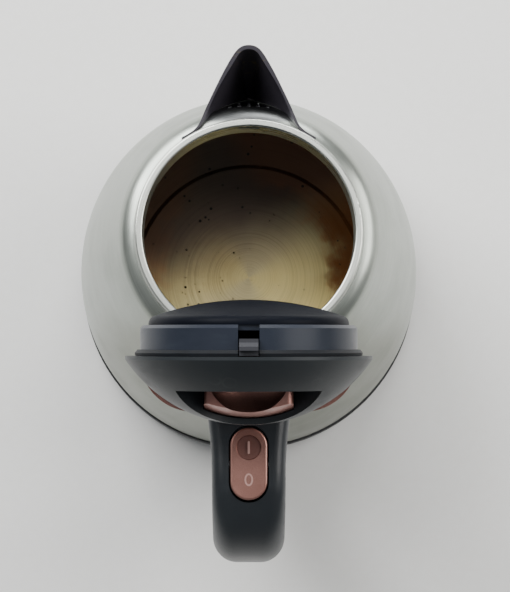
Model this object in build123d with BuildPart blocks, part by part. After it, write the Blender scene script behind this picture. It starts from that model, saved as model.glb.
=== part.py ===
"""Cordless jug kettle with a brushed steel body, a beak spout and a sprung domed lid.

Millimetres, +Z up. The origin is on the body's axis at the surface the kettle stands on.
The spout points along +Y and the handle along -Y. The lid is modelled open, at rest on its stop.
"""
from build123d import *
from math import asin, cos, degrees, radians, sin
import os

os.makedirs("parts", exist_ok=True)


def finish(builder, name):
    """Label a finished piece and write its STEP file."""
    builder.part.label = name
    export_step(builder.part, f"parts/{name}.step")


# ---------------------------------------------------------------- driving dimensions
# Body of revolution: straight foot, one long side arc, a tight shoulder arc and a flat lip.
foot_radius = 78.6
foot_z = 13.0
side_start_z = 20.0
side_arc_radius = 406.0
side_end_z = 161.0
shoulder_radius = 8.0
shoulder_turn = 62.0
steel_wall = 1.0
mouth_radius = 43.0
rim_z = 172.0
collar_wall = 1.0
collar_radius = 46.6
floor_z = 30.0

# Base
skirt_radius = 79.6
skirt_top_z = 12.0
base_wall_radius = 77.4
coupler_bore_radius = 16.3
coupler_depth = 13.0
cover_face_z = 1.5

# Spout
spout_tip_y = 77.0
spout_wall = 1.2

# Lid, measured from the plane of its flange
flange_radius = 46.0
flange_thickness = 1.2
dome_rise = 24.5
dome_wall = 2.2
plug_radius = 40.4
plug_depth = 11.4
plug_wall = 2.0
baffle_radius = 37.3
baffle_depth = 9.5
pocket_floor = 12.4
pocket_radius = 28.7
pocket_back = 7.0
running_gap = 0.4

# Lid hinge
hinge_y = -54.2
hinge_z = 176.0
flange_closed_z = 172.5
open_angle = 96.0
pin_radius = 1.5
pin_clearance = 0.05
knuckle_radius = 4.6
knuckle_half_width = 8.4

# Handle and switch
handle_wall = 2.3
handle_root_y = -60.4
parting_gap = 0.3
switch_y = -94.3
switch_width = 14.8
switch_length = 28.5
switch_gap = 0.5
rocker_top_z = 182.9

# ---------------------------------------------------------------- body of revolution


def body_volume(inset):
    """The solid inside the body's outline, brought in by inset."""
    side_turn = degrees(asin((side_end_z - side_start_z) / side_arc_radius))
    with BuildPart() as volume:
        with BuildSketch(Plane.XZ):
            with BuildLine():
                foot = Line((foot_radius - inset, foot_z), (foot_radius - inset, side_start_z))
                side = JernArc(foot @ 1, (0, 1), side_arc_radius - inset, side_turn)
                shoulder = JernArc(side @ 1, side % 1, shoulder_radius - inset, shoulder_turn)
                top = Line(shoulder @ 1, (0, (shoulder @ 1).Y))
                axis_line = Line(top @ 1, (0, foot_z))
                Line(axis_line @ 1, foot @ 0)
            make_face()
        revolve(axis=Axis.Z)
    return volume.part


outer_volume = body_volume(0)
inner_volume = body_volume(steel_wall)
lip_z = outer_volume.bounding_box().max.Z

# Body shell: one drawn sheet, open at the foot and the mouth, pierced behind the spout
strainer_rows = ((148.0, 3), (153.0, 3), (158.0, 5))
strainer_pitch = 3.8
strainer_hole_radius = 1.6
vent_z = 152.0
vent_radius = 3.0

with BuildPart() as body_shell:
    add(outer_volume)
    add(inner_volume, mode=Mode.SUBTRACT)
    with BuildSketch(Plane.XY.offset(lip_z - 2 * steel_wall)):
        Circle(mouth_radius + collar_wall)
    extrude(amount=3 * steel_wall, mode=Mode.SUBTRACT)
    for row_z, hole_count in strainer_rows:
        with BuildSketch(Plane.XZ.offset(-75)):
            with Locations((0, row_z)):
                with GridLocations(strainer_pitch, 1, hole_count, 1):
                    Circle(strainer_hole_radius)
        extrude(amount=30, mode=Mode.SUBTRACT)
    with BuildSketch(Plane.XZ.offset(45)):
        with Locations((0, vent_z)):
            Circle(vent_radius)
    extrude(amount=30, mode=Mode.SUBTRACT)
finish(body_shell, "body_shell")

# Mouth collar: an inner sleeve and a raised lip, with a window for the lid's latch at the front
sleeve_bottom_z = 159.0
window_low_z = 167.0
window_high_z = 170.7
window_width = 8.6

with BuildPart() as mouth_collar:
    with BuildSketch(Plane.XZ):
        with BuildLine():
            Polyline(
                (mouth_radius, sleeve_bottom_z),
                (mouth_radius + collar_wall, sleeve_bottom_z),
                (mouth_radius + collar_wall, lip_z),
                (collar_radius, lip_z),
                (collar_radius - 0.4, rim_z),
                (mouth_radius, rim_z),
                close=True,
            )
        make_face()
    revolve(axis=Axis.Z)
    fillet(mouth_collar.edges().group_by(Axis.Z)[-1], radius=0.9)
    with BuildSketch(Plane.XZ.offset(-(mouth_radius + 2.4))):
        with Locations((0, (window_low_z + window_high_z) / 2)):
            Rectangle(window_width, window_high_z - window_low_z)
    extrude(amount=10, mode=Mode.SUBTRACT)
finish(mouth_collar, "mouth_collar")

# ---------------------------------------------------------------- spout


def spout_section(height, tip_y, spread, inset):
    """One level of the beak: a bell-shaped outline, wide where it meets the body."""
    with BuildSketch(Plane.XY.offset(height)) as section:
        with BuildLine():
            edge = Spline(
                (0, tip_y - 1.3 * inset),
                (6.4 * spread - inset, tip_y - 4.0 - inset),
                (14.0 * spread - inset, tip_y - 17),
                (19.4 * spread - inset, tip_y - 27.5),
                (28.5 * spread - inset, tip_y - 36.5),
                tangents=((1, 0), (1, -0.45)),
            )
            back = Line(edge @ 1, ((edge @ 1).X, 20))
            Line(back @ 1, (0, 20))
            mirror(about=Plane.YZ)
        make_face()
    return section.sketch


spout_levels = ((116, 64.0, 0.22), (134, 68.5, 0.52), (154, 73.5, 0.82), (178, spout_tip_y, 1.03))
spout_faces = [spout_section(z, tip, spread, 0) for z, tip, spread in spout_levels]
channel_levels = ((126, 66.3, 0.38),) + spout_levels[1:]
channel_faces = [spout_section(z + 0.2, tip, spread, spout_wall) for z, tip, spread in channel_levels]

with BuildPart() as spout:
    loft(spout_faces)
    loft(channel_faces, mode=Mode.SUBTRACT)
    add(outer_volume, mode=Mode.SUBTRACT)
    with BuildSketch(Plane.XY.offset(lip_z - 10)):
        Circle(collar_radius + 0.6)
    extrude(amount=40, mode=Mode.SUBTRACT)
    with BuildSketch(Plane.YZ):
        with BuildLine():
            Polyline((30, 166.6), (50, 168.0), (85, 174.4), (85, 190), (30, 190), close=True)
        make_face()
    extrude(amount=60, both=True, mode=Mode.SUBTRACT)
finish(spout, "spout")

# ---------------------------------------------------------------- floor, heater and base

with BuildPart() as floor_plate:
    with BuildSketch(Plane.XZ):
        with BuildLine():
            Polyline(
                (0, floor_z), (52.5, floor_z), (54.5, floor_z - 1.6), (69.5, floor_z - 1.6),
                (71.0, floor_z - 0.2), (74.0, floor_z - 0.2), (75.9, floor_z + 3.0),
                (76.0, floor_z + 8.0), (76.9, floor_z + 8.0), (77.0, floor_z + 2.4),
                (74.6, floor_z - 1.2), (71.4, floor_z - 1.2), (69.9, floor_z - 2.6),
                (54.1, floor_z - 2.6), (52.1, floor_z - 1.0), (0, floor_z - 1.0), close=True,
            )
        make_face()
    revolve(axis=Axis.Z)
finish(floor_plate, "floor_plate")

spreader_top_z = floor_z - 1.0
spreader_thickness = 3.0
element_ring_radius = 40.0
element_tube_radius = 3.6
element_arc = 290.0
element_z = spreader_top_z - spreader_thickness - element_tube_radius

with BuildPart() as heat_spreader:
    with BuildSketch(Plane.XY.offset(spreader_top_z - spreader_thickness)):
        Circle(50.0)
    extrude(amount=spreader_thickness)
    chamfer(heat_spreader.edges().group_by(Axis.Z)[0], length=1.0)
finish(heat_spreader, "heat_spreader")

element_start = 90 + (360 - element_arc) / 2
with BuildPart() as heating_element:
    with BuildSketch(Plane.XZ.rotated((0, 0, element_start))):
        with Locations((element_ring_radius, element_z)):
            Circle(element_tube_radius)
    revolve(axis=Axis.Z, revolution_arc=element_arc)
finish(heating_element, "heating_element")

# Cold pins: short rods that drop from the ends of the tube
with BuildPart() as element_terminals:
    with BuildSketch(Plane.XY.offset(element_z - element_tube_radius - 7)):
        for side in (-1, 1):
            angle = radians(90 + side * ((360 - element_arc) / 2 - 3.5))
            with Locations((element_ring_radius * cos(angle), element_ring_radius * sin(angle))):
                Circle(1.6)
    extrude(amount=7 + 2 * element_tube_radius)
finish(element_terminals, "element_terminals")

# Coupler socket: a deep cup that the power base's connector enters from below
socket_top_z = 16.0
socket_wall = 3.2
socket_flange_radius = 27.0
socket_flange_thickness = 2.0
contact_height = 1.6
contact_ring_radii = ((13.0, 11.4), (8.0, 6.4))
earth_radius = 2.4
cover_top_z = 4.2
with BuildPart() as coupler_socket:
    with BuildSketch(Plane.XY):
        Circle(coupler_bore_radius + socket_wall)
    extrude(amount=socket_top_z)
    with BuildSketch(Plane.XY.offset(cover_top_z)):
        Circle(socket_flange_radius)
    extrude(amount=socket_flange_thickness)
    with BuildSketch(Plane.XY):
        Circle(coupler_bore_radius)
    extrude(amount=coupler_depth, mode=Mode.SUBTRACT)
    with BuildSketch(Plane.XY.offset(coupler_depth)):
        for outer, inner in contact_ring_radii:
            Circle(outer)
            Circle(inner, mode=Mode.SUBTRACT)
        Circle(earth_radius)
    extrude(amount=contact_height, mode=Mode.SUBTRACT)
finish(coupler_socket, "coupler_socket")

with BuildPart() as contact_rings:
    with BuildSketch(Plane.XY.offset(coupler_depth)):
        for outer, inner in contact_ring_radii:
            Circle(outer)
            Circle(inner, mode=Mode.SUBTRACT)
    extrude(amount=contact_height)
finish(contact_rings, "contact_rings")

with BuildPart() as earth_contact:
    with BuildSketch(Plane.XY.offset(coupler_depth)):
        Circle(earth_radius)
    extrude(amount=contact_height)
finish(earth_contact, "earth_contact")

control_top_z = 23.0
with BuildPart() as thermal_control:
    with BuildSketch(Plane.XY.offset(socket_top_z)):
        RectangleRounded(46, 40, 5)
    extrude(amount=control_top_z - socket_top_z)
    fillet(thermal_control.edges().group_by(Axis.Z)[-1], radius=1.5)
finish(thermal_control, "thermal_control")

# Two snap discs sit between the control and the spreader and switch off a dry kettle
with BuildPart() as dry_boil_discs:
    with BuildSketch(Plane.XY.offset(control_top_z)):
        with Locations((-11, 0), (11, 0)):
            Circle(8.0)
    extrude(amount=spreader_top_z - spreader_thickness - control_top_z)
    chamfer(dry_boil_discs.edges().group_by(Axis.Z)[-1], length=1.0)
finish(dry_boil_discs, "dry_boil_discs")

# Base: a moulded ring inside the steel foot, a skirt round it and a cover underneath
ring_inner_radius = 74.8
ring_top_z = 22.0
screw_count = 3
screw_circle = 66.0
screw_shank = 1.5
screw_head = 3.0
screw_head_height = 1.5
screw_post_radius = 4.5

with BuildPart() as base_ring:
    with BuildSketch(Plane.XZ):
        with BuildLine():
            Polyline(
                (ring_inner_radius, cover_top_z), (base_wall_radius, cover_top_z),
                (base_wall_radius, skirt_top_z), (foot_radius - 0.4, skirt_top_z),
                (foot_radius - 0.4, foot_z), (base_wall_radius, foot_z),
                (base_wall_radius, ring_top_z), (ring_inner_radius, ring_top_z), close=True,
            )
        make_face()
    revolve(axis=Axis.Z)
    with BuildSketch(Plane.XY.offset(cover_top_z)):
        with PolarLocations(screw_circle, screw_count, start_angle=90):
            Circle(screw_post_radius)
        with PolarLocations(screw_circle + 5.5, screw_count, start_angle=90):
            Rectangle(2 * screw_post_radius, 4)
    extrude(amount=16)
    with BuildSketch(Plane.XY.offset(cover_top_z)):
        with PolarLocations(screw_circle, screw_count, start_angle=90):
            Circle(screw_shank)
    extrude(amount=12, mode=Mode.SUBTRACT)
finish(base_ring, "base_ring")

with BuildPart() as base_skirt:
    with BuildSketch(Plane.XZ):
        with BuildLine():
            Polyline(
                (base_wall_radius, 1.4), (skirt_radius - 0.8, 1.4), (skirt_radius, 2.6),
                (skirt_radius, skirt_top_z), (base_wall_radius, skirt_top_z), close=True,
            )
        make_face()
    revolve(axis=Axis.Z)
    fillet(base_skirt.edges().group_by(Axis.Z)[-1].sort_by(SortBy.RADIUS)[-1], radius=0.9)
finish(base_skirt, "base_skirt")

cover_radius = 76.8
standing_ring = (74.0, 70.0)

with BuildPart() as base_cover:
    with BuildSketch(Plane.XY.offset(cover_face_z)):
        Circle(cover_radius)
        Circle(coupler_bore_radius + 3.4, mode=Mode.SUBTRACT)
    extrude(amount=cover_top_z - cover_face_z)
    with BuildSketch(Plane.XY):
        Circle(standing_ring[0])
        Circle(standing_ring[1], mode=Mode.SUBTRACT)
    extrude(amount=cover_face_z)
    fillet(base_cover.edges().group_by(Axis.Z)[0], radius=0.7)
    with BuildSketch(Plane.XY.offset(cover_face_z)):
        with PolarLocations(screw_circle, screw_count, start_angle=90):
            Circle(screw_shank + 0.2)
    extrude(amount=5, mode=Mode.SUBTRACT)
    with BuildSketch(Plane.XY.offset(cover_face_z)):
        with PolarLocations(screw_circle, screw_count, start_angle=90):
            Circle(screw_head + 0.3)
    extrude(amount=screw_head_height, mode=Mode.SUBTRACT)
finish(base_cover, "base_cover")

with BuildPart() as base_screws:
    with BuildSketch(Plane.XY.offset(cover_face_z)):
        with PolarLocations(screw_circle, screw_count, start_angle=90):
            Circle(screw_head)
    extrude(amount=screw_head_height)
    with BuildSketch(Plane.XY.offset(cover_face_z)):
        with PolarLocations(screw_circle, screw_count, start_angle=90):
            Circle(screw_shank)
    extrude(amount=13)
    with BuildSketch(Plane.XY.offset(cover_face_z)):
        with PolarLocations(screw_circle, screw_count, start_angle=90):
            Rectangle(3.6, 0.8)
            Rectangle(0.8, 3.6)
    extrude(amount=0.8, mode=Mode.SUBTRACT)
finish(base_screws, "base_screws")

# ---------------------------------------------------------------- handle
# Stations along the handle: y, z, turn from level, width, depth and corner radius
handle_stations = (
    (handle_root_y, 163.5, 0, 36.0, 31.0, 5.0),
    (-66.2, 166.2, -3, 34.8, 28.4, 5.0),
    (-72.0, 168.5, -4, 33.6, 26.0, 5.0),
    (-90.0, 171.2, 0, 29.8, 22.0, 5.0),
    (-104.0, 170.9, 8, 29.2, 22.0, 5.5),
    (-111.3, 167.9, 29, 29.1, 21.8, 7.0),
    (-117.0, 162.5, 50, 29.0, 21.5, 8.5),
    (-121.1, 153.6, 67, 29.0, 21.0, 9.0),
    (-122.4, 144.0, 84, 29.0, 20.4, 9.5),
    (-121.5, 112.0, 94, 28.6, 20.0, 9.0),
    (-114.5, 78.0, 106, 28.4, 20.0, 8.5),
    (-100.0, 52.0, 138, 28.6, 20.0, 8.0),
    (-84.0, 42.0, 165, 29.0, 20.5, 8.0),
    (-72.0, 40.0, 178, 30.0, 21.0, 8.0),
)


def handle_half(side):
    """Half of the hollow handle, a U-shaped wall carried round the stations: 1 outer, -1 inner."""
    sections = []
    for y, z, turn, width, depth, corner in handle_stations:
        along = (0, -cos(radians(turn)), -sin(radians(turn)))
        hollow = (width - 2 * handle_wall, depth - 2 * handle_wall, corner - handle_wall)
        with BuildSketch(Plane(origin=(0, y, z), x_dir=(1, 0, 0), z_dir=along)) as section:
            RectangleRounded(width, depth, corner)
            RectangleRounded(*hollow, mode=Mode.SUBTRACT)
            with Locations((0, -side * (depth - parting_gap / 2))):
                Rectangle(2 * width, 2 * depth, mode=Mode.SUBTRACT)
        sections.append(section.sketch)
    with BuildPart() as half:
        loft(sections)
    return half.part


with BuildPart() as handle_outer:
    add(handle_half(1))
    add(outer_volume, mode=Mode.SUBTRACT)
    with BuildSketch(Plane.XY.offset(174)):
        with Locations((0, switch_y)):
            SlotOverall(switch_length + 1.9, switch_width + 2 * switch_gap, rotation=90)
    extrude(amount=20, mode=Mode.SUBTRACT)
finish(handle_outer, "handle_outer")

with BuildPart() as handle_inner:
    add(handle_half(-1))
    add(outer_volume, mode=Mode.SUBTRACT)
finish(handle_inner, "handle_inner")

# Switch housing: the steam thermostat's case, with two ears that hold the rocker's pivot
housing_low_z = 164.5
housing_high_z = 171.0
pivot_radius = 1.2
pivot_z = 176.5
ear_inner = 7.9
ear_outer = 10.4

with BuildPart() as switch_housing:
    with BuildSketch(Plane.XY.offset(housing_low_z)):
        with Locations((0, switch_y)):
            Rectangle(2 * ear_outer, 22)
    extrude(amount=housing_high_z - housing_low_z)
    with BuildSketch(Plane.YZ):
        with Locations((switch_y, (housing_low_z + pivot_z) / 2)):
            Rectangle(5, pivot_z - housing_low_z)
        with Locations((switch_y, pivot_z)):
            Circle(2.5)
            Circle(pivot_radius, mode=Mode.SUBTRACT)
    extrude(amount=ear_outer, both=True)
    with BuildSketch(Plane.XY.offset(housing_high_z)):
        with Locations((0, switch_y)):
            Rectangle(2 * ear_inner, 30)
    extrude(amount=12, mode=Mode.SUBTRACT)
finish(switch_housing, "switch_housing")

with BuildPart() as rocker_pivot:
    with BuildSketch(Plane.YZ):
        with Locations((switch_y, pivot_z)):
            Circle(pivot_radius)
    extrude(amount=ear_outer, both=True)
finish(rocker_pivot, "rocker_pivot")

# Steam disc: a snap bimetal on the end of the housing that faces the vent in the body
with BuildPart() as steam_disc:
    with BuildSketch(Plane.XZ.offset(-(switch_y + 12.0))):
        with Locations((0, 168.0)):
            Circle(3.0)
    extrude(amount=1.0)
finish(steam_disc, "steam_disc")

rocker_bottom_z = 178.0
web_bottom_z = 174.0
mark_offset = 6.3

with BuildPart() as switch_rocker:
    with BuildSketch(Plane.XY.offset(rocker_bottom_z)):
        with Locations((0, switch_y)):
            SlotOverall(switch_length, switch_width, rotation=90)
    extrude(amount=rocker_top_z - rocker_bottom_z)
    fillet(switch_rocker.edges().group_by(Axis.Z)[-1], radius=0.9)
    with BuildSketch(Plane.XY.offset(web_bottom_z)):
        with Locations((0, switch_y)):
            Rectangle(2 * (ear_inner - running_gap), 6.4)
    extrude(amount=rocker_bottom_z - web_bottom_z)
    with BuildSketch(Plane.YZ):
        with Locations((switch_y, pivot_z)):
            Circle(pivot_radius + pin_clearance)
    extrude(amount=20, both=True, mode=Mode.SUBTRACT)
    # A dished finger spot round the raised on mark, and a raised ring for off
    with BuildSketch(Plane.XY.offset(rocker_top_z - 0.6)):
        with Locations((0, switch_y + mark_offset)):
            Circle(4.6)
    extrude(amount=2, taper=-25, mode=Mode.SUBTRACT)
    with BuildSketch(Plane.XY.offset(rocker_top_z - 0.8)):
        with Locations((0, switch_y + mark_offset)):
            SlotOverall(5.0, 0.9, rotation=90)
        with Locations((0, switch_y - mark_offset)):
            Ellipse(1.7, 2.5)
            Ellipse(1.0, 1.8, mode=Mode.SUBTRACT)
    extrude(amount=1.1)
finish(switch_rocker, "switch_rocker")

# ---------------------------------------------------------------- hinge
bracket_half_width = 13.0
bracket_front_y = -47.4
bracket_rear_y = -60.2
bracket_top_z = 170.8
ear_radius = 5.0

with BuildPart() as hinge_bracket:
    with BuildSketch(Plane.YZ):
        with BuildLine():
            Polyline(
                (bracket_front_y, 150), (bracket_front_y, bracket_top_z - 1.5),
                (bracket_front_y - 1.5, bracket_top_z), (bracket_rear_y, bracket_top_z),
                (bracket_rear_y, 150), close=True,
            )
        make_face()
    extrude(amount=bracket_half_width, both=True)
    with BuildSketch(Plane.YZ):
        with Locations((hinge_y, (hinge_z + bracket_top_z - 3) / 2)):
            Rectangle(2 * ear_radius, hinge_z - bracket_top_z + 3)
        with Locations((hinge_y, hinge_z)):
            Circle(ear_radius)
    extrude(amount=bracket_half_width, both=True)
    with BuildSketch(Plane.YZ):
        with Locations((hinge_y, hinge_z)):
            Rectangle(2 * ear_radius + 1.2, 2 * ear_radius + 1.2)
    extrude(amount=knuckle_half_width + running_gap, both=True, mode=Mode.SUBTRACT)
    with BuildSketch(Plane.YZ):
        with Locations((hinge_y, hinge_z)):
            Circle(pin_radius)
    extrude(amount=20, both=True, mode=Mode.SUBTRACT)
    add(outer_volume, mode=Mode.SUBTRACT)
    with BuildSketch(Plane.XY.offset(140)):
        Circle(collar_radius)
    extrude(amount=60, mode=Mode.SUBTRACT)
    with BuildSketch(Plane.XZ.offset(50)):
        with Locations((0, vent_z)):
            Circle(vent_radius)
    extrude(amount=14, mode=Mode.SUBTRACT)
finish(hinge_bracket, "hinge_bracket")

with BuildPart() as hinge_pin:
    with BuildSketch(Plane.YZ):
        with Locations((hinge_y, hinge_z)):
            Circle(pin_radius)
    extrude(amount=bracket_half_width + 0.6, both=True)
    chamfer(hinge_pin.edges().filter_by(GeomType.CIRCLE), length=0.3)
finish(hinge_pin, "hinge_pin")

spring_half_length = 2.9


def coil_spring(start, along, pitch, length, coil_radius, wire_radius):
    """A helical spring of round wire, from start along a direction."""
    with BuildLine() as coil:
        Helix(pitch=pitch, height=length, radius=coil_radius, center=start, direction=along)
    wire = coil.line
    with BuildPart() as spring:
        with BuildSketch(Plane(origin=wire @ 0, z_dir=wire % 0)):
            Circle(wire_radius)
        sweep(path=wire, is_frenet=True)
    return spring.part


with BuildPart() as hinge_spring:
    add(coil_spring((-spring_half_length, hinge_y, hinge_z), (1, 0, 0), 1.25, 5.8, 2.6, 0.45))
finish(hinge_spring, "hinge_spring")

# ---------------------------------------------------------------- lid
# The lid is drawn in its own planes, turned back about the hinge to its open stop.
turn = radians(open_angle)
lid_up = Vector(0, -sin(turn), cos(turn))
lid_front = Vector(0, cos(turn), sin(turn))
hinge_point = Vector(0, hinge_y, hinge_z)
lid_centre = hinge_point - lid_front * hinge_y + lid_up * (flange_closed_z - hinge_z)
lid_plane = Plane(origin=lid_centre, x_dir=(1, 0, 0), z_dir=lid_up)
lid_section = Plane(origin=lid_centre, x_dir=(1, 0, 0), z_dir=-lid_front)
lid_side = Plane(origin=lid_centre, x_dir=lid_front, z_dir=(1, 0, 0))
lid_axis = Axis(lid_centre, lid_up)

knuckle_z = hinge_z - flange_closed_z
dome_radius = (flange_radius ** 2 + dome_rise ** 2) / (2 * dome_rise)
dome_centre = flange_thickness + dome_rise - dome_radius
cover_rim_inner = 42.3
plug_lip = cover_rim_inner - 0.1


def lid_dome(radius):
    """The cap of a sphere about the dome's centre, above the top of the flange."""
    start = degrees(asin((flange_thickness - dome_centre) / radius))
    with BuildPart() as cap:
        with BuildSketch(lid_section):
            with BuildLine():
                arc = CenterArc((0, dome_centre), radius, start, 90 - start)
                Polyline(arc @ 1, (0, flange_thickness), arc @ 0)
            make_face()
        revolve(axis=lid_axis)
    return cap.part


dome_outside = lid_dome(dome_radius)
dome_inside = lid_dome(dome_radius - dome_wall)
button_ceiling = lid_dome(dome_radius - dome_wall - running_gap)

button_half_width = 16.3
button_low = pocket_floor + running_gap
button_front = 19.5
button_back = -1.0
pocket_centre = pocket_back + pocket_radius
boss_places = ((26, 15), (-26, 15), (0, -30))
boss_radius = 3.2
boss_top = 13.4

with BuildPart() as pocket_walls:
    with BuildSketch(lid_plane.offset(pocket_floor - dome_wall)):
        with Locations((0, pocket_centre)):
            Circle(pocket_radius + dome_wall)
    extrude(amount=30)
    add(dome_outside, mode=Mode.INTERSECT)

# The opening in the pocket's back wall that the button slides through, under the crown
with BuildPart() as button_opening:
    with BuildSketch(lid_plane.offset(pocket_floor)):
        with Locations((0, 4)):
            Rectangle(2 * (button_half_width + running_gap), 20)
    extrude(amount=30)
    add(dome_inside, mode=Mode.INTERSECT)

with BuildPart() as lid_cover:
    with BuildSketch(lid_plane):
        Circle(flange_radius)
    extrude(amount=flange_thickness)
    with BuildSketch(lid_plane):
        Circle(cover_rim_inner)
    extrude(amount=flange_thickness, mode=Mode.SUBTRACT)
    add(dome_outside)
    add(dome_inside, mode=Mode.SUBTRACT)
    with BuildSketch(lid_side):
        with BuildLine():
            Polyline(
                (hinge_y, knuckle_z + knuckle_radius), (-44, 7.4), (-41, 7.4), (-41, 1.6),
                (-45, 0.2), (hinge_y, knuckle_z - knuckle_radius), close=True,
            )
        make_face()
        with Locations((hinge_y, knuckle_z)):
            Circle(knuckle_radius)
    extrude(amount=knuckle_half_width, both=True)
    with BuildSketch(lid_side):
        with Locations((hinge_y, knuckle_z)):
            Rectangle(13, 13)
    extrude(amount=spring_half_length + 0.6, both=True, mode=Mode.SUBTRACT)
    with BuildSketch(lid_side):
        with Locations((hinge_y, knuckle_z)):
            Circle(pin_radius + pin_clearance)
    extrude(amount=20, both=True, mode=Mode.SUBTRACT)
    with BuildSketch(lid_plane.offset(-plug_depth + plug_wall)):
        with Locations(*boss_places):
            Circle(boss_radius)
    extrude(amount=plug_depth - plug_wall + boss_top)
    add(pocket_walls.part)
    with BuildSketch(lid_plane.offset(pocket_floor)):
        with Locations((0, pocket_centre)):
            Circle(pocket_radius)
    extrude(amount=30, mode=Mode.SUBTRACT)
    add(button_opening.part, mode=Mode.SUBTRACT)
    with BuildSketch(lid_plane.offset(-plug_depth)):
        with Locations(*boss_places):
            Circle(1.2)
    extrude(amount=14, mode=Mode.SUBTRACT)
finish(lid_cover, "lid_cover")

# Copper-coloured trim: a raised band round the rear half of the dome, so that only its two
# ends stand out past the crown when the open lid is seen from above
trim_low = Vector(-38.6, 9.4)
trim_high = Vector(-22.8, 20.6)
trim_bulge = 2.5
trim_chord = (trim_high - trim_low).normalized()
trim_crest = (trim_high + trim_low) * 0.5 + Vector(-trim_chord.Y, trim_chord.X) * trim_bulge

with BuildPart() as lid_trim:
    with BuildSketch(lid_section):
        with BuildLine():
            crest = ThreePointArc(trim_low, trim_crest, trim_high)
            Polyline(crest @ 1, (-22, 18), (-33, 9), crest @ 0)
        make_face()
    revolve(axis=lid_axis, revolution_arc=180)
    add(dome_outside, mode=Mode.SUBTRACT)
finish(lid_trim, "lid_trim")

# Release button: a block with a scooped face, guided by the pocket, with a stem to the bolt
scoop_half_length = 13.6
scoop_depth = 8.2
scoop_y = 19.8

with BuildPart() as release_button:
    with BuildSketch(lid_plane.offset(button_low)):
        with Locations((0, (button_front + button_back) / 2)):
            RectangleRounded(2 * button_half_width, button_front - button_back, 2.5)
    extrude(amount=20)
    add(button_ceiling, mode=Mode.INTERSECT)
    with BuildSketch(lid_plane.offset(button_low)):
        with BuildLine():
            scoop = ThreePointArc(
                (-scoop_half_length, scoop_y), (0, scoop_y - scoop_depth), (scoop_half_length, scoop_y)
            )
            Line(scoop @ 1, scoop @ 0)
        make_face()
    revolve(
        axis=Axis(lid_plane.from_local_coords((0, scoop_y, button_low)), (1, 0, 0)), mode=Mode.SUBTRACT
    )
    with BuildSketch(lid_plane.offset(-0.2)):
        with Locations((0, 1.6)):
            Rectangle(8, 4.4)
    extrude(amount=button_low + 0.4)
finish(release_button, "release_button")

# Latch bolt: a flat bar under the stem, with the nose that catches the mouth collar
bolt_back = -1.0
bolt_nose_y = 42.3
bolt_tip_y = 44.6
bolt_half_width = 3.4

with BuildPart() as latch_bolt:
    with BuildSketch(lid_plane.offset(-3.0)):
        with Locations((0, (bolt_back + 36) / 2)):
            Rectangle(2 * bolt_half_width, 36 - bolt_back)
    extrude(amount=2.4)
    with BuildSketch(lid_plane.offset(-6.4)):
        with Locations((0, (34 + bolt_nose_y) / 2)):
            Rectangle(2 * bolt_half_width, bolt_nose_y - 34)
    extrude(amount=6.0)
    with BuildSketch(lid_side):
        with BuildLine():
            Polyline(
                (bolt_nose_y - 1, -5.1), (bolt_nose_y + 0.4, -5.1), (bolt_tip_y, -3.6),
                (bolt_tip_y, -2.2), (bolt_nose_y - 1, -2.2), close=True,
            )
        make_face()
    extrude(amount=bolt_half_width, both=True)
finish(latch_bolt, "latch_bolt")

with BuildPart() as latch_spring:
    add(coil_spring(lid_plane.from_local_coords((0, bolt_back - 10.6, -1.8)), lid_front, 1.5, 10, 2.0, 0.35))
finish(latch_spring, "latch_spring")

# Plug: the round cup that fills the mouth, with a floor and a spring stop
with BuildPart() as lid_plug:
    with BuildSketch(lid_section):
        with BuildLine():
            Polyline(
                (0, -plug_depth), (plug_radius - 1.2, -plug_depth), (plug_radius, 1.2 - plug_depth),
                (plug_radius, 0), (plug_lip, 0), (plug_lip, flange_thickness),
                (plug_radius - plug_wall, flange_thickness),
                (plug_radius - plug_wall, plug_wall - plug_depth),
                (0, plug_wall - plug_depth), close=True,
            )
        make_face()
    revolve(axis=lid_axis)
    with BuildSketch(lid_plane.offset(-plug_depth)):
        with Locations((0, bolt_back - 12.6)):
            Rectangle(14, 3)
    extrude(amount=plug_depth - 0.2)
    with BuildSketch(lid_plane.offset(-plug_depth)):
        with Locations((0, plug_radius)):
            Rectangle(2 * bolt_half_width + 0.8, 8)
    extrude(amount=plug_depth - 0.1, mode=Mode.SUBTRACT)
    with BuildSketch(lid_plane.offset(-plug_depth)):
        with Locations(*boss_places):
            Circle(1.4)
    extrude(amount=4, mode=Mode.SUBTRACT)
finish(lid_plug, "lid_plug")

with BuildPart() as lid_screws:
    with BuildSketch(lid_plane.offset(-plug_depth - 1.3)):
        with Locations(*boss_places):
            Circle(2.4)
    extrude(amount=1.3)
    with BuildSketch(lid_plane.offset(-plug_depth)):
        with Locations(*boss_places):
            Circle(1.2)
    extrude(amount=10)
finish(lid_screws, "lid_screws")

with BuildPart() as lid_seal:
    with BuildSketch(lid_section):
        with BuildLine():
            Polyline(
                (plug_radius, -0.1), (42.2, -0.1), (42.4, -1.2), (41.4, -2.4), (plug_radius, -2.4),
                close=True,
            )
        make_face()
    revolve(axis=lid_axis)
    with BuildSketch(lid_plane.offset(-3)):
        with Locations((0, plug_radius)):
            Rectangle(2 * bolt_half_width + 0.8, 8)
    extrude(amount=4, mode=Mode.SUBTRACT)
finish(lid_seal, "lid_seal")


# Steam baffle: a low, thin-walled dome under the plug
baffle_wall = 1.6
baffle_skirt = 0.6
baffle_bend_radius = 3.0

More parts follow.
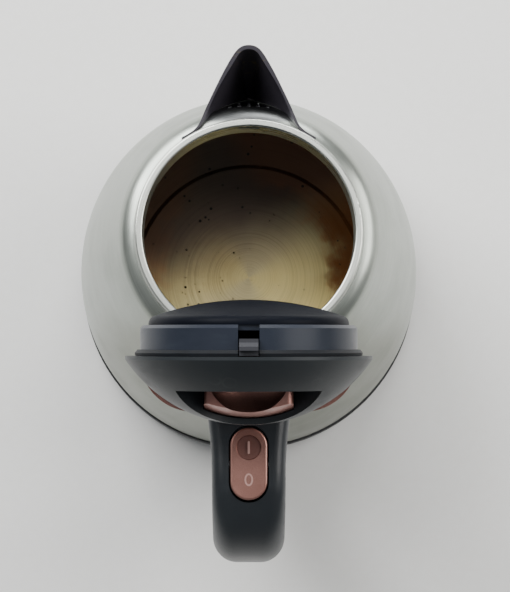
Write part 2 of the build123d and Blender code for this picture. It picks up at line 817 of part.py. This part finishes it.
with BuildPart() as steam_baffle:
    with BuildSketch(lid_section):
        for inset, mode in ((0, Mode.ADD), (baffle_wall, Mode.SUBTRACT)):
            side = baffle_radius - inset
            low = plug_depth + baffle_depth - inset
            with BuildLine():
                wall = Line((side, -plug_depth), (side, -plug_depth - baffle_skirt))
                bend = JernArc(wall @ 1, (0, -1), baffle_bend_radius - inset, -70)
                rise = low + (bend @ 1).Y
                crown_radius = ((bend @ 1).X ** 2 + rise ** 2) / (2 * rise)
                crown = RadiusArc(bend @ 1, (0, -low), crown_radius)
                Polyline(crown @ 1, (0, -plug_depth), wall @ 0)
            make_face(mode=mode)
    revolve(axis=lid_axis)
finish(steam_baffle, "steam_baffle")
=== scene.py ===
"""A cordless electric jug kettle with its sprung lid standing open, on a pale floor.

Metres, +Z up, spout along +Y, handle along -Y, origin on the body's axis at the resting plane.
"""
from math import radians

import bmesh
import bpy
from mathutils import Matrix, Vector


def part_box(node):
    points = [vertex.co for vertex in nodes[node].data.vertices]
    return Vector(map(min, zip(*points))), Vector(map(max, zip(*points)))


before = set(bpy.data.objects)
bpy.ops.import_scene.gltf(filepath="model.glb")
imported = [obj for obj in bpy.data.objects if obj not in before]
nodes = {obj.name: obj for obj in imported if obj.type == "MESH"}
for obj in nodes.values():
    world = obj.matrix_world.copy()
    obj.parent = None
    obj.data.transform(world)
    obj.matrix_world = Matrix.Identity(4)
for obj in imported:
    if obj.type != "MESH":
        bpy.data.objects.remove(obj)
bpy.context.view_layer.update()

# ------------------------------------------------------------------ body shell
# One deep-drawn stainless sheet, brushed round and round on a lathe, then washed by hand for
# years: fine rings, a few cross scratches and dull patches where water has dried.


class Field:
    """A value that varies over a surface: a shader socket that can be used in sums."""

    def __init__(self, finish, socket):
        self.finish = finish
        self.socket = socket

    def __add__(self, other):
        return self.finish.maths("ADD", self, other)

    __radd__ = __add__

    def __sub__(self, other):
        return self.finish.maths("SUBTRACT", self, other)

    def __rsub__(self, other):
        return self.finish.maths("SUBTRACT", other, self)

    def __mul__(self, other):
        return self.finish.maths("MULTIPLY", self, other)

    __rmul__ = __mul__


class Finish:
    """One material: its nodes, and the sockets of its surface shader."""

    def __init__(self, name):
        self.material = bpy.data.materials.new(name)
        self.material.use_nodes = True
        self.tree = self.material.node_tree
        self.surface = self.tree.nodes["Principled BSDF"]
        self.place = self.node("ShaderNodeTexCoord", output="Object")

    def node(self, kind, settings=(), inputs=(), output=0):
        """Adds a node, sets it up, feeds it, and gives one of its outputs."""
        made = self.tree.nodes.new(kind)
        for key, value in dict(settings).items():
            setattr(made, key, value)
        for key, value in dict(inputs).items():
            self.feed(made.inputs[key], value)
        return Field(self, made.outputs[output])

    def feed(self, socket, value):
        """Links a field to a socket, or sets the socket to a constant."""
        if isinstance(value, Field):
            self.tree.links.new(value.socket, socket)
        else:
            socket.default_value = value

    def set(self, **sockets):
        """Sets or links shader sockets; an underscore stands for a space."""
        for key, value in sockets.items():
            self.feed(self.surface.inputs[key.replace("_", " ")], value)

    def tint(self):
        """The colour the surface has been given so far."""
        return Field(self, self.surface.inputs["Base Color"].links[0].from_socket)

    def split(self, vector):
        """The three parts of a vector."""
        made = self.node("ShaderNodeSeparateXYZ", inputs={0: vector})
        return [Field(self, made.socket.node.outputs[axis]) for axis in "XYZ"]

    def join(self, x, y, z):
        return self.node("ShaderNodeCombineXYZ", inputs={0: x, 1: y, 2: z})

    def maths(self, operation, value, other=0.0):
        return self.node("ShaderNodeMath", {"operation": operation}, {0: value, 1: other})

    def ramp(self, value, low, high, to_low=0.0, to_high=1.0):
        """Carries value from low..high to to_low..to_high, and holds it there outside."""
        inputs = {"Value": value, 1: low, 2: high, 3: to_low, 4: to_high}
        return self.node("ShaderNodeMapRange", {"interpolation_type": "SMOOTHSTEP"}, inputs)

    def noise(self, where, scale, detail=3.0, roughness=0.55):
        inputs = {"Vector": where, "Scale": scale, "Detail": detail, "Roughness": roughness}
        return self.node("ShaderNodeTexNoise", inputs=inputs)

    def cells(self, scale):
        """The distance to the nearest of many scattered points."""
        inputs = {"Vector": self.place, "Scale": scale}
        return self.node("ShaderNodeTexVoronoi", {"feature": "F1"}, inputs)

    def mix(self, amount, first, second):
        """A colour between first and second."""
        factor, colour_a, colour_b, colour_out = 0, 6, 7, 2
        inputs = {factor: amount, colour_a: first, colour_b: second}
        return self.node("ShaderNodeMix", {"data_type": "RGBA"}, inputs, colour_out)

    def bump(self, height, strength, distance):
        inputs = {"Height": height, "Strength": strength, "Distance": distance}
        self.set(Normal=self.node("ShaderNodeBump", inputs=inputs))

    def coat(self, *names):
        """Puts the finish on CAD nodes."""
        for name in names:
            for slot in nodes[name].material_slots:
                slot.material = self.material


def shade(red, green, blue):
    """A colour as it is seen, 0 to 255, turned into scene light."""
    channels = [channel / 255 for channel in (red, green, blue)]
    linear = [c / 12.92 if c <= 0.04045 else ((c + 0.055) / 1.055) ** 2.4 for c in channels]
    return (*linear, 1.0)


def brushed_steel(name, clean, worn, grain, gloss, twist=0.6, relief=0.16):
    """Steel brushed in rings round the kettle's axis.

    grain is rings per metre, gloss the least roughness, twist how far the rings stretch a
    highlight, and relief how strongly they are felt.
    """
    along_a_ring = 26
    groove_depth = 0.00012
    finish = Finish(name)
    x, y, z = finish.split(finish.place)
    radius = finish.maths("SQRT", x * x + y * y)
    stretched = finish.join(x * along_a_ring, y * along_a_ring, (radius - z) * grain)
    rings = finish.noise(stretched, 1.0, 4.0, 0.62)
    patches = finish.noise(finish.place, 34, 4.0)
    smears = finish.ramp(patches, 0.42, 0.68)
    scratches = finish.noise(finish.join(x * 900, y * 60, z * 70), 1.0, 2.0)
    colour = finish.mix(finish.ramp(rings, 0.3, 0.7), worn, clean)
    finish.set(
        Base_Color=finish.mix(smears * 0.35, colour, worn),
        Metallic=1.0,
        Roughness=gloss + rings * 0.1 + smears * 0.06,
        Anisotropic=twist,
        Anisotropic_Rotation=0.25,
    )
    finish.bump(rings + finish.ramp(scratches, 0.66, 0.8) * 0.4, relief, groove_depth)
    return finish


body_steel = brushed_steel(
    "body_steel", shade(176, 181, 174), shade(148, 153, 146), grain=5200, gloss=0.24
)
x, y, z = body_steel.split(body_steel.place)

# The wall that shows between the beak's flanks, down inside the spout, is painted in shade,
# darker further out. The flanks close in outward and open out upward, so they are a straight
# edge in |x|, y and z.
flank_edge, flank_blur = -0.0385, 0.001
closing_in, opening_out = 0.514, 0.5
wall_from, wall_to = 0.0455, 0.047
darkening_from, darkening_to = 0.048, 0.058
flanks = body_steel.maths("ABSOLUTE", x) + y * closing_in - z * opening_out
between_flanks = body_steel.ramp(flanks, flank_edge - flank_blur, flank_edge, 1.0, 0.0)
under_spout = between_flanks * body_steel.ramp(y, wall_from, wall_to)
ragged = y + body_steel.noise(body_steel.place, 300) * 0.004
darker_outward = body_steel.ramp(ragged, darkening_from, darkening_to)
shaded_in_spout = body_steel.mix(darker_outward, shade(112, 114, 114), shade(30, 30, 32))

# Over the handle's half of the body the steel is painted a darker, greener grey: a painted dark
# reflection.
shading_full, shading_gone = -0.03, -0.008
drifting = y + body_steel.noise(body_steel.place, 18, 3.0) * 0.03
painted_shade_half = body_steel.ramp(drifting, shading_full, shading_gone, 1.0, 0.0)
shaded_body = body_steel.mix(painted_shade_half * 0.75, body_steel.tint(), shade(122, 124, 112))
body_steel.set(Base_Color=body_steel.mix(under_spout, shaded_body, shaded_in_spout))
body_steel.coat("body_shell")

# ------------------------------------------------------------------ mouth collar
# A turned steel sleeve rolled over the shell's lip. Its top edge is polished by the lid seal,
# so it is brighter and smoother than the brushed wall.
collar_steel = brushed_steel(
    "collar_steel",
    shade(214, 217, 210),
    shade(188, 191, 184),
    grain=2400,
    gloss=0.22,
    twist=0.4,
    relief=0.05,
)
collar_steel.coat("mouth_collar")

# ------------------------------------------------------------------ spout
# A pressed steel beak welded to the wall, brushed up and down outside. Its inside is coloured
# near black and mostly non-metallic, streaked with a little straw-coloured scale.
spout_steel = Finish("spout_steel")
x, y, z = spout_steel.split(spout_steel.place)
drawn = spout_steel.noise(spout_steel.join(x * 1200, y * 500, z * 45), 1.0, 3.0)
clouds = spout_steel.noise(spout_steel.place, 60, 3.0)
straw = spout_steel.ramp(clouds, 0.45, 0.75) * 0.5
brushing = spout_steel.ramp(drawn, 0.3, 0.7)
bright = spout_steel.mix(brushing, shade(150, 153, 146), shade(190, 193, 185))
outside = spout_steel.mix(straw, bright, shade(176, 168, 140))

# A surface that faces the line up the middle of the channel is coloured near black, and so is
# the top edge.
channel_y = 0.045
inward_limit = -0.0015
level_from, level_to = 0.75, 0.85
facing = spout_steel.split(spout_steel.node("ShaderNodeNewGeometry", output="Normal"))
outward = facing[0] * x + facing[1] * (y - channel_y)
turned_in = spout_steel.ramp(outward, inward_limit, 0.0, 1.0, 0.0)
top_edge = spout_steel.ramp(facing[2], level_from, level_to)
dark_inside = spout_steel.maths("MAXIMUM", turned_in, top_edge)

tip_from, tip_to = 0.066, 0.074
streaks = spout_steel.noise(spout_steel.join(x * 110, y * 700, z * 700), 1.0, 3.0)
scale_film = spout_steel.ramp(streaks, 0.55, 0.72) * spout_steel.ramp(y, tip_from, tip_to)
inside = spout_steel.mix(scale_film * 0.6, shade(50, 47, 54), shade(130, 118, 68))
spout_steel.set(
    Base_Color=spout_steel.mix(dark_inside, outside, inside),
    Metallic=1 - dark_inside * 0.85,
    Roughness=0.17 + drawn * 0.12 + clouds * 0.06 + dark_inside * 0.1,
)
spout_steel.bump(drawn, 0.07, 0.0001)
spout_steel.coat("spout")

# ------------------------------------------------------------------ heated floor
# A thick steel disc brushed in rings and yellowed by boiling hard water. Scale has browned its
# edge, and grains of it lie scattered over the plate.
floor_steel = Finish("floor_steel")
x, y, z = floor_steel.split(floor_steel.place)
radius = floor_steel.maths("SQRT", x * x + y * y)
fine_rings = floor_steel.noise(floor_steel.join(x * 18, y * 18, radius * 2600), 1.0, 4.0, 0.65)
wide_rings = floor_steel.noise(floor_steel.join(x * 4, y * 4, radius * 420), 1.0, 2.0)
mottle = floor_steel.noise(floor_steel.place, 26, 4.0)

# Two fans of stronger yellow are painted across the plate: painted highlights, set where light
# spreads on metal brushed in rings.
highlight_turn = 0.6
around = floor_steel.maths("ARCTAN2", y, x)
painted_highlight_fans = floor_steel.ramp(floor_steel.maths("COSINE", around * 2 + highlight_turn), -0.9, 0.9)
yellows = floor_steel.ramp(mottle, 0.3, 0.7)
brass = floor_steel.mix(yellows, shade(222, 204, 136), shade(236, 208, 116))
with_painted_fans = floor_steel.mix(painted_highlight_fans * 0.45, shade(198, 184, 142), brass)
dark_rings = floor_steel.ramp(fine_rings, 0.4, 0.75) * 0.35
ringed = floor_steel.mix(dark_rings, with_painted_fans, shade(126, 116, 84))

# The side under the spout is painted darker, a painted dark reflection, and more so to its
# left.
dark_side_from, dark_side_full = -0.006, 0.048
painted_dark_side = floor_steel.ramp(y - x * 0.5 + mottle * 0.02, dark_side_from, dark_side_full)
with_dark_side = floor_steel.mix(painted_dark_side * 0.9, ringed, shade(74, 60, 64))

# Rust-brown scale creeps in from the edge at both sides, and further on the right.
ragged_radius = radius + floor_steel.noise(floor_steel.place, 90, 5.0) * 0.03
near_edge = floor_steel.ramp(ragged_radius, 0.046, 0.066)
on_the_right = floor_steel.ramp(x + y * 0.55, 0.012, 0.04)
on_the_left = floor_steel.ramp(x * -1 + y * 0.2, 0.026, 0.044)
scaled = near_edge * (on_the_right + on_the_left * 0.8)
rust = floor_steel.ramp(scaled * (1 - painted_dark_side * 0.7), 0.0, 1.0)
browned = floor_steel.mix(rust * 0.8, with_dark_side, shade(186, 104, 50))

grain_size, grain_edge = 0.14, 0.2
chosen = floor_steel.ramp(floor_steel.noise(floor_steel.place, 70, 2.0), 0.52, 0.6)
specks = floor_steel.ramp(floor_steel.cells(260.0), grain_size, grain_edge, 1.0, 0.0) * chosen
floor_steel.set(
    Base_Color=floor_steel.mix(specks * 0.85, browned, shade(26, 20, 16)),
    Metallic=1 - specks * 0.7 - rust * 0.3,
    Roughness=0.3 + fine_rings * 0.12 + rust * 0.25 + specks * 0.3,
    Anisotropic=0.8,
    Anisotropic_Rotation=0.25,
)
floor_steel.bump(fine_rings + wide_rings + specks * 2, 0.16, 0.00012)
floor_steel.coat("floor_plate")

# ------------------------------------------------------------------ heater stack
# Under the plate: an aluminium spreader cast round a sheathed element, with brass terminals.
# Nobody sees it once the base is on, but it is finished as such parts are.


def worked_metal(name, light, dark, gloss, fineness, relief=0.2):
    """Plain metal with mill marks and a little tarnish; fineness is marks per metre."""
    finish = Finish(name)
    marks = finish.noise(finish.place, fineness, 4.0, 0.6)
    tarnish = finish.noise(finish.place, fineness * 0.12, 3.0)
    colour = finish.mix(finish.ramp(marks, 0.3, 0.7), dark, light)
    finish.set(
        Base_Color=finish.mix(finish.ramp(tarnish, 0.5, 0.8) * 0.5, colour, dark),
        Metallic=1.0,
        Roughness=gloss + marks * 0.15,
    )
    finish.bump(marks, relief, 0.00015)
    return finish


aluminium = worked_metal(
    "spreader_aluminium",
    shade(196, 197, 199),
    shade(150, 151, 154),
    gloss=0.38,
    fineness=900,
    relief=0.4,
)
aluminium.coat("heat_spreader")
sheath = worked_metal(
    "element_sheath", shade(150, 146, 138), shade(96, 90, 82), gloss=0.4, fineness=700
)
sheath.coat("heating_element")
brass_metal = worked_metal(
    "contact_brass", shade(214, 186, 112), shade(160, 132, 74), gloss=0.26, fineness=1200
)
brass_metal.coat("element_terminals", "contact_rings", "earth_contact")
bimetal = worked_metal(
    "bimetal", shade(182, 168, 150), shade(140, 124, 104), gloss=0.3, fineness=1600
)
bimetal.coat("dry_boil_discs", "steam_disc")

# ------------------------------------------------------------------ base
# A steel ring spun over the foot and a black moulded skirt, cover and coupler below it. The
# moulding has a fine eroded texture under a thin film of wiped-over dust.


def moulded_plastic(name, colour, worn, gloss, fineness, relief, shine=0.5):
    """Moulded plastic with a fine even texture, faint flow clouds and wiped-over dust."""
    finish = Finish(name)
    texture = finish.noise(finish.place, fineness, 2.0, 0.5)
    clouds = finish.noise(finish.place, 42, 4.0)
    x, y, z = finish.split(finish.place)
    wiped = finish.noise(finish.join(x * 30, y * 130, z * 60), 1.0, 3.0)
    dust = finish.ramp(wiped, 0.5, 0.78)
    paler = finish.ramp(clouds, 0.35, 0.8) * 0.3 + dust * 0.25
    finish.set(
        Base_Color=finish.mix(paler, colour, worn),
        Roughness=gloss + texture * 0.08 + dust * 0.1,
        Specular_IOR_Level=shine,
    )
    finish.bump(texture, relief, 0.0001)
    return finish


black_plastic = moulded_plastic(
    "black_plastic",
    shade(26, 27, 29),
    shade(52, 53, 56),
    gloss=0.42,
    fineness=2600,
    relief=0.35,
)
black_plastic.coat(
    "base_skirt", "base_cover", "coupler_socket", "thermal_control", "switch_housing"
)
ring_steel = brushed_steel(
    "ring_steel", shade(196, 196, 188), shade(148, 148, 142), grain=3000, gloss=0.2, twist=0.5
)
ring_steel.coat("base_ring")
screw_metal = worked_metal(
    "screw_steel", shade(176, 176, 176), shade(120, 120, 120), gloss=0.3, fineness=1500
)
screw_metal.coat("base_screws", "lid_screws")

# ------------------------------------------------------------------ handle
# Two moulded halves in slate-grey plastic that meet along the sides. They are satin from the
# mould, with a fine grain and a low sheen.
slate_plastic = moulded_plastic(
    "slate_plastic",
    shade(34, 38, 42),
    shade(52, 56, 60),
    gloss=0.33,
    fineness=1900,
    relief=0.3,
    shine=0.34,
)
slate_plastic.coat("handle_outer", "handle_inner")

# ------------------------------------------------------------------ switch
# A rocker moulded in plastic and painted rose copper under a clear coat, on a steel cross pin.
# The same paint is on the lid's button and trim, a shade darker and more matt.


def copper_paint(name, light, deep, gloss):
    """Metallic copper paint: tiny flakes in a tinted lacquer that drifts in depth."""
    finish = Finish(name)
    flakes = finish.noise(finish.place, 4200, 1.0, 0.5)
    drift = finish.noise(finish.place, 55, 3.0)
    lighter = finish.ramp(flakes, 0.35, 0.68) * 0.5 + finish.ramp(drift, 0.35, 0.7) * 0.4
    finish.set(
        Base_Color=finish.mix(lighter, deep, light),
        Metallic=0.88,
        Roughness=gloss + flakes * 0.12 + drift * 0.06,
        Coat_Weight=0.35,
        Coat_Roughness=0.18,
    )
    finish.bump(flakes, 0.12, 0.00005)
    return finish


copper = copper_paint("copper_finish", shade(182, 134, 123), shade(134, 93, 85), gloss=0.34)
copper.coat("release_button", "lid_trim")

# The rocker's on and off marks stand up from its face, so they are rubbed bright, and the
# dished finger spot round the on mark has gone darker.
mark_height = 0.0003
dish_top, dish_upper = 0.0002, 0.0005
dish_lower, dish_bottom = 0.0009, 0.0012
mark_foot, mark_top = 0.00005, 0.0002
rocker = copper_paint("rocker_copper", shade(184, 138, 127), shade(144, 102, 92), gloss=0.32)
rocker_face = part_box("switch_rocker")[1].z - mark_height
x, y, z = rocker.split(rocker.place)
raised = rocker.ramp(z, rocker_face + mark_foot, rocker_face + mark_top)
below_face = rocker.ramp(z, rocker_face - dish_upper, rocker_face - dish_top, 1.0, 0.0)
spot = below_face * rocker.ramp(z, rocker_face - dish_bottom, rocker_face - dish_lower)
darkened = rocker.mix(spot * 0.7, rocker.tint(), shade(112, 74, 68))
rocker.set(Base_Color=rocker.mix(raised * 0.8, darkened, shade(226, 184, 174)))
rocker.coat("switch_rocker")
pin_steel = worked_metal(
    "pin_steel", shade(190, 190, 190), shade(140, 140, 140), gloss=0.2, fineness=2200
)
pin_steel.coat("rocker_pivot", "hinge_pin")

# ------------------------------------------------------------------ lid hinge
# A moulded bracket behind the mouth, a steel pin through the knuckles, and a torsion spring
# of drawn wire that throws the lid up. The latch's spring is of the same wire.
slate_plastic.coat("hinge_bracket")
spring_wire = worked_metal(
    "spring_steel", shade(186, 188, 190), shade(118, 120, 122), gloss=0.22, fineness=2600
)
spring_wire.coat("hinge_spring", "latch_spring")

# ------------------------------------------------------------------ lid
# A domed slate-plastic cover with a cut-out pocket, a bluer cup below it that plugs the
# mouth, a silicone seal, and a low dark dome that throws the steam back.
lid_plastic = moulded_plastic(
    "lid_plastic",
    shade(34, 38, 41),
    shade(50, 54, 56),
    gloss=0.36,
    fineness=1900,
    relief=0.3,
    shine=0.24,
)

# Dried drops have left thin rings on the cover, in a few places only.
drops = lid_plastic.cells(85.0)
ring_marks = lid_plastic.ramp(drops, 0.16, 0.2) * lid_plastic.ramp(drops, 0.22, 0.27, 1.0, 0.0)
in_places = lid_plastic.ramp(lid_plastic.noise(lid_plastic.place, 30, 2.0), 0.5, 0.6)
spotting = ring_marks * in_places * 0.35
lid_plastic.set(Base_Color=lid_plastic.mix(spotting, lid_plastic.tint(), shade(64, 68, 68)))
lid_plastic.coat("lid_cover")

plug_plastic = moulded_plastic(
    "plug_plastic",
    shade(30, 35, 45),
    shade(44, 50, 61),
    gloss=0.3,
    fineness=1500,
    relief=0.2,
    shine=0.24,
)
plug_plastic.coat("lid_plug")
baffle_plastic = moulded_plastic(
    "baffle_plastic",
    shade(7, 10, 18),
    shade(14, 18, 28),
    gloss=0.42,
    fineness=1500,
    relief=0.2,
    shine=0.06,
)
baffle_plastic.coat("steam_baffle")

silicone = Finish("silicone")
skin = silicone.noise(silicone.place, 1300, 3.0)
dust = silicone.ramp(silicone.noise(silicone.place, 90, 3.0), 0.5, 0.8)
silicone.set(
    Base_Color=silicone.mix(dust * 0.4, shade(13, 16, 21), shade(26, 30, 36)),
    Roughness=0.5 + skin * 0.15,
    Specular_IOR_Level=0.2,
    Subsurface_Weight=0.08,
    Subsurface_Scale=0.002,
)
silicone.bump(skin, 0.2, 0.0001)
silicone.coat("lid_seal")

# The latch bolt is a moulded bar in dark grey acetal that slides in the cup's floor.
bolt_plastic = moulded_plastic(
    "bolt_plastic",
    shade(44, 45, 50),
    shade(62, 62, 68),
    gloss=0.4,
    fineness=1500,
    relief=0.2,
    shine=0.3,
)
bolt_plastic.coat("latch_bolt")

# ------------------------------------------------------------------ floor and light
# A pale seamless board, one broad soft key from the upper left, a soft fill from the right,
# a weak light overhead that reaches down to the plate, and a low one beyond the spout that
# runs along the steel.
board_half = 3.0
board_drop = 0.0002
board_mesh = bpy.data.meshes.new("board")
board_shape = bmesh.new()
bmesh.ops.create_grid(board_shape, x_segments=1, y_segments=1, size=board_half)
board_shape.to_mesh(board_mesh)
board_shape.free()
board = bpy.data.objects.new("board", board_mesh)
bpy.context.scene.collection.objects.link(board)
board.location.z = -board_drop
paper = Finish("paper")
fibres = paper.noise(paper.place, 220, 4.0)
paper.set(
    Base_Color=paper.mix(fibres, shade(232, 231, 228), shade(238, 238, 236)), Roughness=0.72
)
board_mesh.materials.append(paper.material)


def soft_light(name, size, power, place, target, colour=(1, 1, 1)):
    """A square soft box at place, facing target."""
    lamp = bpy.data.lights.new(name, "AREA")
    lamp.size = size
    lamp.energy = power
    lamp.color = colour
    holder = bpy.data.objects.new(name, lamp)
    holder.location = place
    holder.rotation_euler = (Vector(target) - Vector(place)).to_track_quat("-Z", "Y").to_euler()
    bpy.context.scene.collection.objects.link(holder)


upper_body = (0, 0, 0.12)
shoulder = (0, 0, 0.15)
plate = (0, 0, 0.03)
warm, warmer = (1.0, 0.99, 0.97), (1.0, 0.98, 0.95)
soft_light("key", 0.9, power=28, place=(-0.62, 0.72, 1.1), target=upper_body)
soft_light("fill", 0.8, power=12, place=(0.95, 0.25, 0.9), target=upper_body, colour=warmer)
soft_light("above", 0.4, power=1.1, place=(0.06, 0.24, 1.25), target=plate, colour=warm)
soft_light("beyond", 0.6, power=9, place=(0.25, 1.1, 0.7), target=shoulder)

world = bpy.data.worlds.new("studio")
world.use_nodes = True
bpy.context.scene.world = world
room = world.node_tree.nodes["Background"]
room.inputs["Color"].default_value = (0.72, 0.74, 0.76, 1)
room.inputs["Strength"].default_value = 0.42

# ------------------------------------------------------------------ camera
# A long lens high above the handle's end, looking almost straight down and tilted toward the
# spout. The shift sets the kettle a little off the middle.
tilt = radians(7.18)
eye = (0, -0.1294, 0.9882)
camera_data = bpy.data.cameras.new("camera")
camera_data.lens = 124.4
camera_data.shift_x = 0.0105
camera = bpy.data.objects.new("camera", camera_data)
camera.location = eye
camera.rotation_euler = (tilt, 0, 0)
bpy.context.scene.collection.objects.link(camera)
bpy.context.scene.camera = camera
